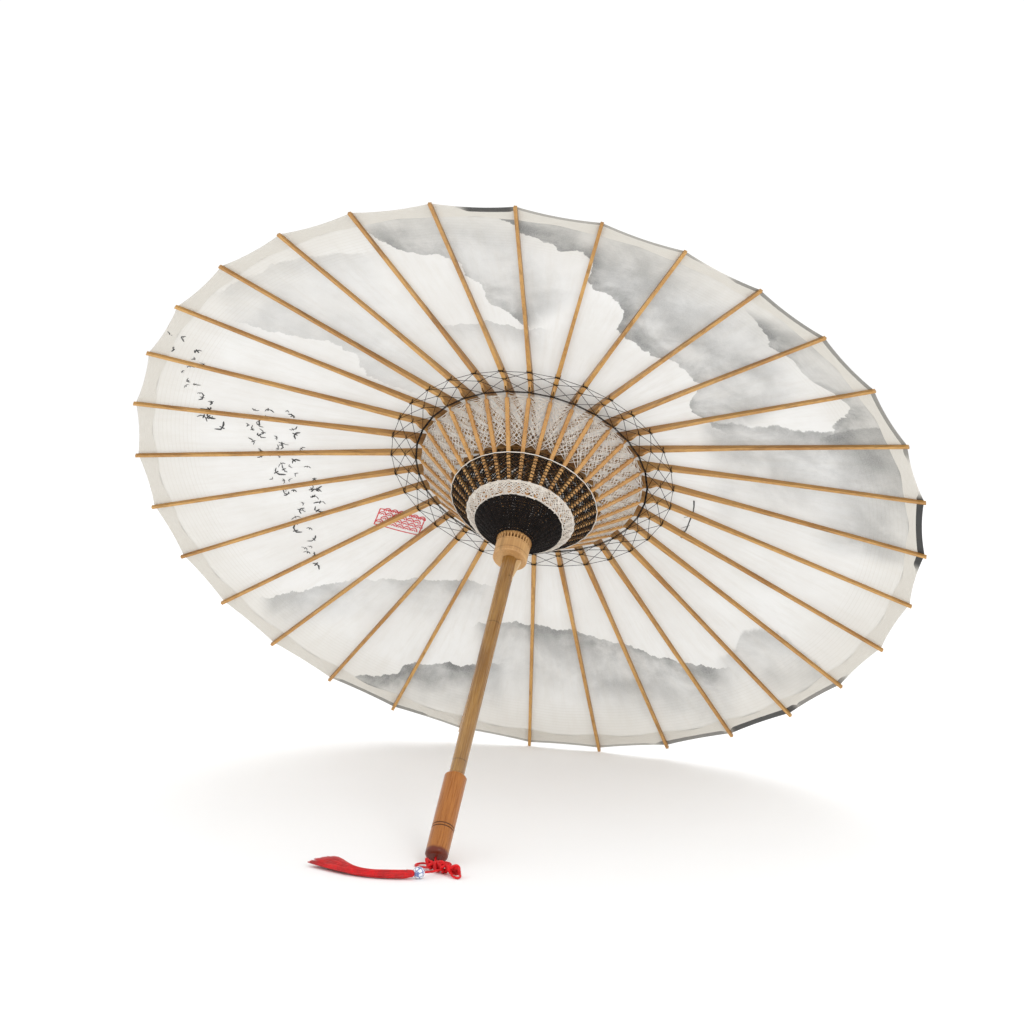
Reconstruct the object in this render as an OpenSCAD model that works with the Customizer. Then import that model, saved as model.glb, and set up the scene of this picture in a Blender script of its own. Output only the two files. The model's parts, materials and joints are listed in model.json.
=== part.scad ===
// Oil paper umbrella: a bamboo frame that folds, thread nets and a flat paper canopy.
// It is drawn upright and then laid down open, on its grip and its two lowest ribs.
// Upright frame: the pole is the Z axis, the crown is up and the rib tips lie at z = 0.

/* [Canopy] */
// Radius of the open umbrella, from the pole's axis to the rib tips
open_r = 420; // [400:5:440]
// Number of ribs, which is also the number of stretchers
rib_count = 32; // [28:2:32]
// Height of the rib hinges above the rib tips
hinge_z = 77; // [70:1:84]
// How far the rib tips reach past the paper's edge
tip_overhang = 8; // [6:1:14]
// Thickness of the oiled paper
paper_t = 0.4; // [0.3:0.1:0.8]

/* [Ribs] */
// Width of a rib at its joint with the stretcher
rib_w = 4.6; // [4:0.1:4.6]
// Width of a rib at its tip
tip_w = 3.2; // [2.6:0.1:3.6]
// Depth of a rib near its joint
rib_depth = 6; // [5:0.1:6.2]
// Depth of a rib at its tip
tip_depth = 3; // [2.4:0.1:3.6]

/* [Stretchers] */
// Radius of the joint between a rib and its stretcher
joint_r = 122; // [118:1:126]
// Height of that joint
joint_z = 49; // [48:0.5:50]
// Width of a stretcher
stretcher_w = 3.6; // [3:0.1:4]
// Depth of a stretcher
stretcher_depth = 4.4; // [3.6:0.1:4.8]

/* [Pole and grip] */
// Diameter of the bamboo pole
pole_d = 15; // [14:0.5:16]
// Distance from the rib tips' plane down to the grip's end
grip_end = 448; // [430:1:470]
// Length of the grip
grip_len = 95; // [80:1:110]
// Diameter of the grip
grip_d = 22; // [20:0.5:26]
// Top of the turned cap above the rib tips' plane
cap_top = 117; // [110:1:125]

/* [Runner and catch] */
// Outer diameter of the runner
runner_d = 35.6; // [34:0.2:38]
// Length of the runner
runner_len = 28; // [26:1:32]
// Depth of the runner below the rib tips' plane, at its top
runner_top = 48; // [46:1:50]
// Length of the slots in the runner's top
runner_slot = 10.7; // [10:0.1:12]

/* [Tassel] */
// Diameter of the tassel's cord
cord_d = 2; // [1.6:0.2:2.4]
// Diameter of the porcelain bead
bead_d = 11.5; // [10:0.5:13]

/* [Hidden] */
$fn = 64;
pitch = 360 / rib_count;
pole_r = pole_d / 2;
grip_r = grip_d / 2;
runner_r = runner_d / 2;
tall = 400;
soft_gap = 0.3;
running_gap = 0.08;

// Hinge of the ribs in the crown, and of the stretchers in the runner
hinge_r = 17.5;
foot_r = 14.6;
foot_z = -runner_top - 4.2;

// Crown
crown_r = 20;
crown_core_r = 13.6;
crown_low = hinge_z - 8;
crown_high = hinge_z + 2;
neck_r = 13.4;
neck_top = hinge_z + 4.3;
crown_slot_w = 0.86 * arc_at(crown_core_r);
rib_tenon_w = crown_slot_w - 0.4;
rib_tenon_r = 2.5;

// Runner
runner_core_r = 12;
runner_slot_w = 0.86 * arc_at(runner_core_r);
foot_tenon_w = runner_slot_w - 0.4;
foot_tenon_r = 1.9;

// Rib outline
tip_top = tip_depth / 2;
hinge_top = hinge_z + 2.6;
rib_flare_r = hinge_r + 9.5;
rib_flare_w = 2.4;
rib_full_r = joint_r + 8;
rib_slim_r = 235;
rib_slim_w = (rib_w + 2 * tip_w) / 3;
rib_slim_depth = (rib_depth + 2 * tip_depth) / 3;
heel_w = 2.9;
heel_bottom = joint_z - 2.6;
tongue_w = 1;
tongue_slot_w = 1.4;
tongue_r = 2.2;
thread_r = 0.45;
thread_hole_r = 0.65;
outer_net_r = 151;

// Stretcher, from the runner to the joint
stretcher_len = norm([joint_r - foot_r, joint_z - foot_z]);
stretcher_rise = atan2(joint_z - foot_z, joint_r - foot_r);
stretcher_slope = tan(stretcher_rise);
stretcher_reach = stretcher_depth / 2 / cos(stretcher_rise) + 0.4;

// Catch and the slot that it presses into
catch_w = 3;
catch_slot_w = 3.4;
catch_pivot = [5, -101];
catch_top = -runner_top - runner_len - 0.3;
catch_slot_top = catch_top + 1;
catch_slot_low = catch_pivot.y - 3.4;

// Grip
end_round = 4;
groove_r = 0.6;
groove_up = 31;
groove_step = 3;
grip_socket = 77;
socket_z = grip_len - grip_socket - grip_end;
cap_roof = 12;
cap_r = 18;
cap_flange_r = 24;
cord_hole_r = 1.6;

// Open umbrella lying on its grip's end and its two lowest rib tips
tip_reach = open_r * cos(pitch / 2) + tip_w / 2 * sin(pitch / 2);
end_flat_r = grip_r - end_round;
lean_x = grip_end - end_round - tip_top;
lean_y = tip_reach - end_flat_r;
lean = atan2(lean_y, lean_x) - asin(end_round / norm([lean_x, lean_y]));
lift = tip_top * sin(lean) + tip_reach * cos(lean);
y_low = -(grip_end - end_round) * cos(lean) - end_flat_r * sin(lean) - end_round;
y_high = tip_top * cos(lean) + tip_reach * sin(lean);
shift = -(y_low + y_high) / 2;

// Cord on the floor, from the grip's end past the knot to the tassel
cord_route = [
    [0, -295, 15], [0, -300, 10.4], [0, -304, 6.8], [0.5, -307, 4.2], [2, -311, 2.6], [6, -318, 2.2],
    [12, -327, 3.4], [15, -335, 4.8], [15, -343, 5.4], [12, -352, 6], [7, -359, 6], [-1, -364, 6], [-9, -369, 6]
];
knot_low = [2, -329, 5];
knot_high = [28, -343, 5];
knot_r = 4.6;
bead_at = [-1, -364, 6];
bead_turn = atan2(-5, -8);
skirt_route = [[-13, -370, 4.8], [-28, -374, 4.4], [-48, -375, 4.4], [-68, -367, 4.6], [-96, -345, 5.4]];
skirt_r = [3.9, 4.2, 4.2, 4.6, 5.4];

TRIM = [
    "pole", "grip", "crown", "crown_thread", "cap", "runner", "runner_thread", "catch", "catch_pin",
    "stretchers", "joint_thread", "joint_ring", "black_net", "white_band", "dark_net", "white_net",
    "outer_net", "canopy", "rim_band", "tassel_cord", "tassel_knot", "tassel_bead", "tassel_skirt"
];

function arc_at(r) = 2 * PI * r / rib_count;
function azimuth(i) = 90 + (i - (rib_count + 1) / 2) * pitch;
function rib_name(i) = str("rib_", i < 10 ? "0" : "", i);
function rib_top(r) = hinge_top + (tip_top - hinge_top) * (r - hinge_r) / (open_r - hinge_r);
function rib_bottom(r) = rib_top(r) - rib_depth;
function stretcher_z(r) = foot_z + (r - foot_r) * stretcher_slope;

// Lays the upright umbrella down, with the middle of its footprint at the origin
module laid() {
    translate([0, shift, lift]) rotate([lean - 90, 0, 0]) children();
}

// Extrudes an outline of radius and height to both sides of the plane through the pole
module upright(w) {
    rotate([90, 0, 0]) linear_extrude(w, center = true) children();
}

// A cylinder across the plane through the pole, at a radius and height
module across(r, z, radius, w) {
    translate([r, 0, z]) rotate([90, 0, 0]) cylinder(r = radius, h = w, center = true);
}

module ring(r, z, tube) {
    translate([0, 0, z]) rotate_extrude($fn = 128) translate([r, 0]) circle(tube, $fn = 24);
}

// A thin cone between two radii and heights, thickened upwards
module cone_sheet(r1, z1, r2, z2, t) {
    rotate_extrude($fn = 128) polygon([[r1, z1], [r2, z2], [r2, z2 + t], [r1, z1 + t]]);
}

module around() {
    for (i = [1:rib_count]) rotate(azimuth(i)) children();
}

module pole() {
    color("tan") laid() difference() {
        translate([0, 0, socket_z]) cylinder(r = pole_r, h = cap_top - cap_roof - socket_z);
        translate([1, -catch_slot_w / 2, catch_slot_low])
            cube([pole_d, catch_slot_w, catch_slot_top - catch_slot_low]);
        across(catch_pivot.x, catch_pivot.y, 0.8, pole_d);
    }
}

module grip() {
    low = -grip_end;
    color("peru") laid() difference() {
        union() {
            translate([0, 0, low]) cylinder(r = end_flat_r, h = end_round + 1);
            ring(end_flat_r, low + end_round, end_round);
            translate([0, 0, low + end_round]) cylinder(r = grip_r, h = grip_len - end_round - 1.5);
            translate([0, 0, low + grip_len - 1.5]) cylinder(r1 = grip_r, r2 = grip_r - 1.5, h = 1.5);
        }
        translate([0, 0, socket_z]) cylinder(r = pole_r, h = grip_socket + 1);
        translate([0, 0, low - 1]) cylinder(r = cord_hole_r, h = grip_len - grip_socket + 2);
        for (k = [0, 1]) ring(grip_r, low + groove_up + k * groove_step, groove_r);
    }
}

module crown() {
    color("saddlebrown") laid() difference() {
        union() {
            translate([0, 0, crown_low]) cylinder(r = crown_r, h = crown_high - crown_low);
            translate([0, 0, crown_high]) cylinder(r = neck_r, h = neck_top - crown_high);
        }
        translate([0, 0, crown_low - 1]) cylinder(r = pole_r, h = neck_top - crown_low + 2);
        around() translate([crown_core_r, -crown_slot_w / 2, crown_low - 1])
            cube([crown_r, crown_slot_w, crown_high - crown_low + 2]);
        ring(hinge_r, hinge_z, thread_hole_r);
    }
}

module crown_thread() {
    color("black") laid() ring(hinge_r, hinge_z, thread_r);
}

module cap() {
    shoulder = neck_top + 3;
    color("saddlebrown") laid() difference() {
        union() {
            translate([0, 0, neck_top]) cylinder(r = cap_flange_r, h = 3);
            translate([0, 0, shoulder]) cylinder(r = cap_r, h = cap_top - shoulder - 6);
            translate([0, 0, cap_top - 6]) cylinder(r1 = cap_r, r2 = cap_r - 6, h = 6);
        }
        translate([0, 0, neck_top - 1]) cylinder(r = pole_r, h = cap_top - cap_roof - neck_top + 1);
    }
}

module runner() {
    low = -runner_top - runner_len;
    color("burlywood") laid() difference() {
        union() {
            translate([0, 0, low + 1]) cylinder(r = runner_r, h = runner_len - 1);
            translate([0, 0, low]) cylinder(r1 = runner_r - 1, r2 = runner_r, h = 1);
        }
        translate([0, 0, low - 1]) cylinder(r = pole_r + running_gap, h = runner_len + 2);
        around() translate([runner_core_r, -runner_slot_w / 2, -runner_top - runner_slot])
            cube([runner_r, runner_slot_w, runner_slot + 1]);
        ring(runner_r, -runner_top - runner_slot - 1.6, 0.4);
        ring(runner_r, low + 5, 0.4);
        ring(foot_r, foot_z, thread_hole_r);
    }
}

module runner_thread() {
    color("black") laid() ring(foot_r, foot_z, thread_r);
}

// A bamboo sliver that holds the runner up, and presses into the pole's slot
module catch() {
    color("wheat") laid() difference() {
        upright(catch_w) polygon([
            [3.4, catch_pivot.y - 2.2], [6.8, catch_pivot.y - 2.2], [7.2, catch_pivot.y + 2],
            [12.3, catch_top - 2], [12, catch_top], [7.6, catch_top]
        ]);
        across(catch_pivot.x, catch_pivot.y, 0.85, catch_w + 1);
    }
}

module catch_pin() {
    color("tan") laid() across(catch_pivot.x, catch_pivot.y, 0.8, 2 * (pole_r - 3));
}

// One stretcher in the plane through the pole, with a tenon at its foot and a tongue at its joint
module stretcher() {
    body_start = 11;
    body_end = stretcher_len - 8;
    half = stretcher_depth / 2;
    translate([foot_r, 0, foot_z]) rotate([0, -stretcher_rise, 0]) difference() {
        union() {
            intersection() {
                upright(stretcher_w) polygon([
                    [body_start, -foot_tenon_r], [40, -half], [body_end, -half],
                    [body_end, half], [40, half], [body_start, foot_tenon_r]
                ]);
                linear_extrude(tall, center = true) polygon([
                    [body_start, -foot_tenon_w / 2], [45, -stretcher_w / 2], [body_end, -stretcher_w / 2],
                    [body_end, stretcher_w / 2], [45, stretcher_w / 2], [body_start, foot_tenon_w / 2]
                ]);
            }
            across(0, 0, foot_tenon_r, foot_tenon_w);
            upright(foot_tenon_w) translate([0, -foot_tenon_r]) square([body_start + 1, 2 * foot_tenon_r]);
            across(stretcher_len, 0, tongue_r, tongue_w);
            upright(tongue_w) translate([body_end - 1, -tongue_r]) square([9, 2 * tongue_r]);
        }
        across(0, 0, thread_hole_r, tall);
        across(stretcher_len, 0, thread_hole_r, tall);
    }
}

module stretchers() {
    color("peru") laid() around() stretcher();
}

module joint_thread() {
    color("black") laid() ring(joint_r, joint_z, thread_r);
}

module joint_ring() {
    color("black") laid() ring(joint_r + 2, heel_bottom - 1.5, 1.1);
}

// A band of net along the stretchers, above them or below them
module net(r1, r2, above) {
    t = 0.5;
    rise = above ? stretcher_reach : -stretcher_reach - t;
    cone_sheet(r1, stretcher_z(r1) + rise, r2, stretcher_z(r2) + rise, t);
}

module black_net() {
    color("black") laid() net(19.5, 46, false);
}

module white_band() {
    color("white") laid() net(46.3, 56.6, false);
}

module dark_net() {
    color("dimgray") laid() net(50, 77.5, true);
}

module white_net() {
    color("ivory") laid() net(77.9, 113, true);
}

// Thread zigzag under the ribs, just outside their joints
module outer_net() {
    low = heel_bottom - 0.9;
    high = rib_bottom(outer_net_r) - soft_gap - 0.4;
    color("black") laid() cone_sheet(joint_r + 4.6, low, outer_net_r, high, 0.4);
}

module canopy() {
    edge = open_r - tip_overhang;
    inner = neck_r + 0.6;
    color("white") laid()
        cone_sheet(inner, rib_top(inner) + soft_gap, edge, rib_top(edge) + soft_gap, paper_t);
}

module rim_band() {
    edge = open_r - tip_overhang;
    inner = edge - 16;
    rise = soft_gap + paper_t;
    color("gray") laid() cone_sheet(inner, rib_top(inner) + rise, edge, rib_top(edge) + rise, 0.3);
}

// One rib in the plane through the pole: a tenon in the crown, a heel at the joint and a slim end
module rib() {
    heel_in = joint_r - 5;
    heel_out = joint_r + 5;
    difference() {
        union() {
            across(hinge_r, hinge_z, rib_tenon_r, rib_tenon_w);
            upright(rib_tenon_w) polygon([
                [hinge_r, hinge_z - rib_tenon_r], [rib_flare_r + 1, rib_bottom(rib_flare_r + 1)],
                [rib_flare_r + 1, rib_top(rib_flare_r + 1)], [hinge_r, hinge_z + rib_tenon_r]
            ]);
            intersection() {
                upright(rib_w) polygon([
                    [rib_flare_r, rib_bottom(rib_flare_r)], [outer_net_r, rib_bottom(outer_net_r)],
                    [rib_slim_r, rib_top(rib_slim_r) - rib_slim_depth], [open_r, -tip_top],
                    [open_r, tip_top], [rib_flare_r, rib_top(rib_flare_r)]
                ]);
                linear_extrude(tall, center = true) polygon([
                    [rib_flare_r, -rib_flare_w / 2], [rib_full_r, -rib_w / 2], [outer_net_r, -rib_w / 2],
                    [rib_slim_r, -rib_slim_w / 2], [open_r, -tip_w / 2], [open_r, tip_w / 2],
                    [rib_slim_r, rib_slim_w / 2], [outer_net_r, rib_w / 2], [rib_full_r, rib_w / 2],
                    [rib_flare_r, rib_flare_w / 2]
                ]);
            }
            upright(heel_w) polygon([
                [heel_in - 9, rib_bottom(heel_in - 9) + 1], [heel_in, heel_bottom], [heel_out, heel_bottom],
                [heel_out + 8, rib_bottom(heel_out + 8) + 1]
            ]);
        }
        across(hinge_r, hinge_z, thread_hole_r, rib_w);
        across(joint_r, joint_z, thread_hole_r, rib_w + 1);
        translate([joint_r - 12, -tongue_slot_w / 2, heel_bottom - 5])
            cube([19, tongue_slot_w, joint_z + tongue_r + 0.8 - heel_bottom + 5]);
    }
}

module rib_at(i) {
    color("peru") laid() rotate(azimuth(i)) rib();
}

// A tube along a route, as one closed polyhedron
module tube(route, radius, sides) {
    n = len(route);
    ahead = [for (k = [0:n - 1]) unit(route[min(k + 1, n - 1)] - route[max(k - 1, 0)])];
    side = [for (d = ahead) unit(cross(d, abs(d.z) < 0.9 ? [0, 0, 1] : [0, 1, 0]))];
    points = [for (k = [0:n - 1]) for (j = [0:sides - 1])
        let (a = 360 * j / sides)
        route[k] + radius * (cos(a) * side[k] + sin(a) * cross(side[k], ahead[k]))];
    walls = [for (k = [0:n - 2]) for (j = [0:sides - 1]) let (m = (j + 1) % sides)
        each [
            [k * sides + j, k * sides + m, (k + 1) * sides + m],
            [k * sides + j, (k + 1) * sides + m, (k + 1) * sides + j]
        ]];
    ends = [[for (j = [sides - 1:-1:0]) j], [for (j = [0:sides - 1]) (n - 1) * sides + j]];
    polyhedron(points, concat(walls, ends), convexity = 6);
}

function unit(v) = v / norm(v);

module tassel_cord() {
    color("red") tube(cord_route, cord_d / 2, 8);
}

module tassel_knot() {
    color("red") {
        hull() {
            translate(knot_low) sphere(knot_r, $fn = 24);
            translate(knot_high) sphere(knot_r, $fn = 24);
        }
    }
}

module tassel_bead() {
    color("lightsteelblue") translate(bead_at) rotate([0, 0, bead_turn]) rotate([0, 90, 0]) difference() {
        sphere(d = bead_d, $fn = 48);
        cylinder(r = cord_d / 2 + 0.2, h = bead_d + 1, center = true);
    }
}

module tassel_skirt() {
    color("red") union() for (k = [0:len(skirt_route) - 2]) hull() {
        translate(skirt_route[k]) sphere(skirt_r[k], $fn = 16);
        translate(skirt_route[k + 1]) sphere(skirt_r[k + 1], $fn = 16);
    }
}

pole();
grip();
crown();
crown_thread();
cap();
runner();
runner_thread();
catch();
catch_pin();
stretchers();
joint_thread();
joint_ring();
black_net();
white_band();
dark_net();
white_net();
outer_net();
canopy();
rim_band();
tassel_cord();
tassel_knot();
tassel_bead();
tassel_skirt();
for (i = [1:rib_count]) rib_at(i);
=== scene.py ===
"""Looks for the open oil paper umbrella: paper, nets, tassel, materials, camera and light."""
import json
import math
import random

import bpy
from mathutils import Matrix, Vector


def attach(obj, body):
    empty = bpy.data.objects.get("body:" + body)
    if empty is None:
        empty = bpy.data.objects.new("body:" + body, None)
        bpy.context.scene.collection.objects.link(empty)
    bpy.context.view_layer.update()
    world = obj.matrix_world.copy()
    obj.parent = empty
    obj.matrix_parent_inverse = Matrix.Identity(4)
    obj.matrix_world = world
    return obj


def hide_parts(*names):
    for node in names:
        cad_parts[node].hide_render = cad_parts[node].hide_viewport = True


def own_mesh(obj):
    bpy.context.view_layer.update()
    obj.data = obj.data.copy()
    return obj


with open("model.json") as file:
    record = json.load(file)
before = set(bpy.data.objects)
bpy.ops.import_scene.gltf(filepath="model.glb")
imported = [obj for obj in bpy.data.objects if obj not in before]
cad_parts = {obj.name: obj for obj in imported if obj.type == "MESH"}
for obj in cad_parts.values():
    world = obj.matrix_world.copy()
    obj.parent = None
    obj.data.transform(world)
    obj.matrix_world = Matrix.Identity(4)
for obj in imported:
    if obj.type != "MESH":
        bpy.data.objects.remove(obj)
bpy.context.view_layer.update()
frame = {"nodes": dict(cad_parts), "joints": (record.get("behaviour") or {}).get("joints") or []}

MM = 0.001
RIBS = 32
PITCH = 2 * math.pi / RIBS

# ---------------------------------------------------------------- umbrella frame
# Upright frame of the umbrella in the row frame: the pole is Z, the rib tips lie at z = 0,
# and +Y points down towards the floor. Shapes are given in its millimetres.
# Radius and height of the ribs' hinges, their joints with the stretchers, the stretchers' feet and the
# thread ring; radius of the rib tips, the paper's edge, the hem's inner edge and the outer net
HINGE_R, HINGE_Z = 17.5, 77.0
OPEN_R, RIM_R, HEM_R = 420.0, 417.5, 400.0
JOINT_R, JOINT_Z = 122.0, 49.0
FOOT_R, FOOT_Z = 14.6, -52.2
RING_R, RING_Z = 124.0, 44.9
OUTER_R = 151.0
RISE = (JOINT_Z - FOOT_Z) / (JOINT_R - FOOT_R)

JOINTS = {j["name"]: j for j in frame["joints"]}
UP = -Vector(JOINTS["runner_slide"]["axis"]).normalized()
ACROSS = Vector((1, 0, 0))
DOWN = UP.cross(ACROSS)
RIB_NAMES = [f"rib_{i:02d}" for i in range(1, RIBS + 1)]
HINGES = [Vector(JOINTS[name + "_fold"]["pos_m"]) for name in RIB_NAMES]
CENTRE = sum(HINGES, Vector()) / RIBS - UP * HINGE_Z * MM
TO_ROW = Matrix((ACROSS, DOWN, UP)).transposed().to_4x4()
TO_ROW.translation = CENTRE
FROM_UMBRELLA = TO_ROW @ Matrix.Scale(MM, 4)
FROM_ROW = Matrix.Scale(MM, 4)


def azimuth(i):
    """Angle of rib i, counted from 1; a fraction lies between two ribs."""
    return math.radians(90) + (i - (RIBS + 1) / 2) * PITCH


def polar(i, r, z):
    """Point in the umbrella's own frame, on the line of rib i."""
    return Vector((r * math.cos(azimuth(i)), r * math.sin(azimuth(i)), z))


def rib_top(r):
    """Height of a rib's upper side at a radius."""
    return HINGE_Z + 2.6 + (1.5 - HINGE_Z - 2.6) * (r - HINGE_R) / (OPEN_R - HINGE_R)


def bar_z(r):
    """Height of a stretcher's middle line at a radius."""
    return FOOT_Z + (r - FOOT_R) * RISE


# ---------------------------------------------------------------- camera
LENS_MM, SENSOR_MM = 97.08, 36
CAMERA_AT = (0.5969, -2.7791, 0.6063)
CAMERA_TURN, CAMERA_DIP, CAMERA_ROLL = 12.239, 6.063, 2.287
camera = bpy.data.objects.new("camera", bpy.data.cameras.new("camera"))
camera.data.lens, camera.data.sensor_width = LENS_MM, SENSOR_MM
camera.data.clip_start, camera.data.clip_end = 0.05, 60
camera.matrix_world = (
    Matrix.Translation(CAMERA_AT)
    @ Matrix.Rotation(math.radians(CAMERA_TURN), 4, "Z")
    @ Matrix.Rotation(math.radians(90 - CAMERA_DIP), 4, "X")
    @ Matrix.Rotation(math.radians(CAMERA_ROLL), 4, "Z")
)
bpy.context.collection.objects.link(camera)
bpy.context.scene.camera = camera


# ---------------------------------------------------------------- mesh building
VERTICAL = Vector((0, 0, 1))


def turns(count):
    """Angles of a full turn, in equal steps."""
    return [2 * math.pi * k / count for k in range(count)]


def above(p, height):
    """The point, or the one over it at a height if it is lower than that."""
    return Vector((p.x, p.y, max(p.z, height)))


class Shape:
    """Points and faces of one piece, and the paper position of each point where it has one."""

    def __init__(self):
        self.points, self.faces, self.slots, self.places = [], [], [], []

    def add(self, points, faces, slot=0, places=None):
        base = len(self.points)
        self.points += [Vector(p) for p in points]
        self.faces += [[base + k for k in f] for f in faces]
        self.slots += [slot] * len(faces)
        self.places += places or [(0.0, 0.0)] * len(points)

    def loft(self, rings, caps=True):
        """Skin over closed rings with the same number of points."""
        n = len(rings[0])
        faces = []
        for k in range(len(rings) - 1):
            for j in range(n):
                m = (j + 1) % n
                faces.append([k * n + j, k * n + m, (k + 1) * n + m, (k + 1) * n + j])
        if caps:
            faces.append(list(range(n))[::-1])
            faces.append([(len(rings) - 1) * n + j for j in range(n)])
        self.add([p for ring in rings for p in ring], faces)

    def tube(self, line, radius, sides, closed=False):
        """Round tube along a line. radius is one number or one for each point."""
        line = [Vector(p) for p in line]
        n = len(line)
        radii = radius if hasattr(radius, "__len__") else [radius] * n
        rings, side = [], None
        for k in range(n):
            before = line[k - 1] if closed or k else line[0]
            after = line[(k + 1) % n] if closed or k < n - 1 else line[k]
            ahead = (after - before).normalized()
            if side is None:
                side = ahead.cross(VERTICAL if abs(ahead.z) < 0.9 else Vector((0, 1, 0)))
            side = (side - ahead * side.dot(ahead)).normalized()
            top = ahead.cross(side)
            rings.append([line[k] + radii[k] * (math.cos(a) * side + math.sin(a) * top)
                          for a in turns(sides)])
        if closed:
            rings.append(rings[0])
        self.loft(rings, caps=not closed)

    def grid(self, rows, slot=0, places=None):
        """Open surface over rows of points."""
        n = len(rows[0])
        faces = []
        for k in range(len(rows) - 1):
            for j in range(n - 1):
                faces.append([k * n + j, k * n + j + 1, (k + 1) * n + j + 1, (k + 1) * n + j])
        flat = [q for row in places for q in row] if places else None
        self.add([p for row in rows for p in row], faces, slot, flat)

    def piece(self, name, materials, into=FROM_UMBRELLA, smooth=True):
        mesh = bpy.data.meshes.new(name)
        mesh.from_pydata([into @ p for p in self.points], [], self.faces)
        for material in materials:
            mesh.materials.append(material)
        mesh.polygons.foreach_set("material_index", self.slots)
        mesh.polygons.foreach_set("use_smooth", [smooth] * len(self.faces))
        layer = mesh.uv_layers.new(name="place")
        for loop in mesh.loops:
            layer.data[loop.index].uv = self.places[loop.vertex_index]
        mesh.update()
        made = bpy.data.objects.new(name, mesh)
        bpy.context.collection.objects.link(made)
        return made


def smooth_line(route, steps):
    """Catmull-Rom curve through a route, with a number of steps between its points."""
    pts = [Vector(p) for p in route]
    pts = [2 * pts[0] - pts[1], *pts, 2 * pts[-1] - pts[-2]]
    line = []
    for k in range(1, len(pts) - 2):
        a, b, c, d = pts[k - 1 : k + 3]
        for s in range(steps):
            t = s / steps
            line.append(
                0.5 * (2 * b + (c - a) * t + (2 * a - 5 * b + 4 * c - d) * t * t
                       + (3 * b - a - 3 * c + d) * t ** 3)
            )
    return [*line, pts[-2]]


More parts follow.
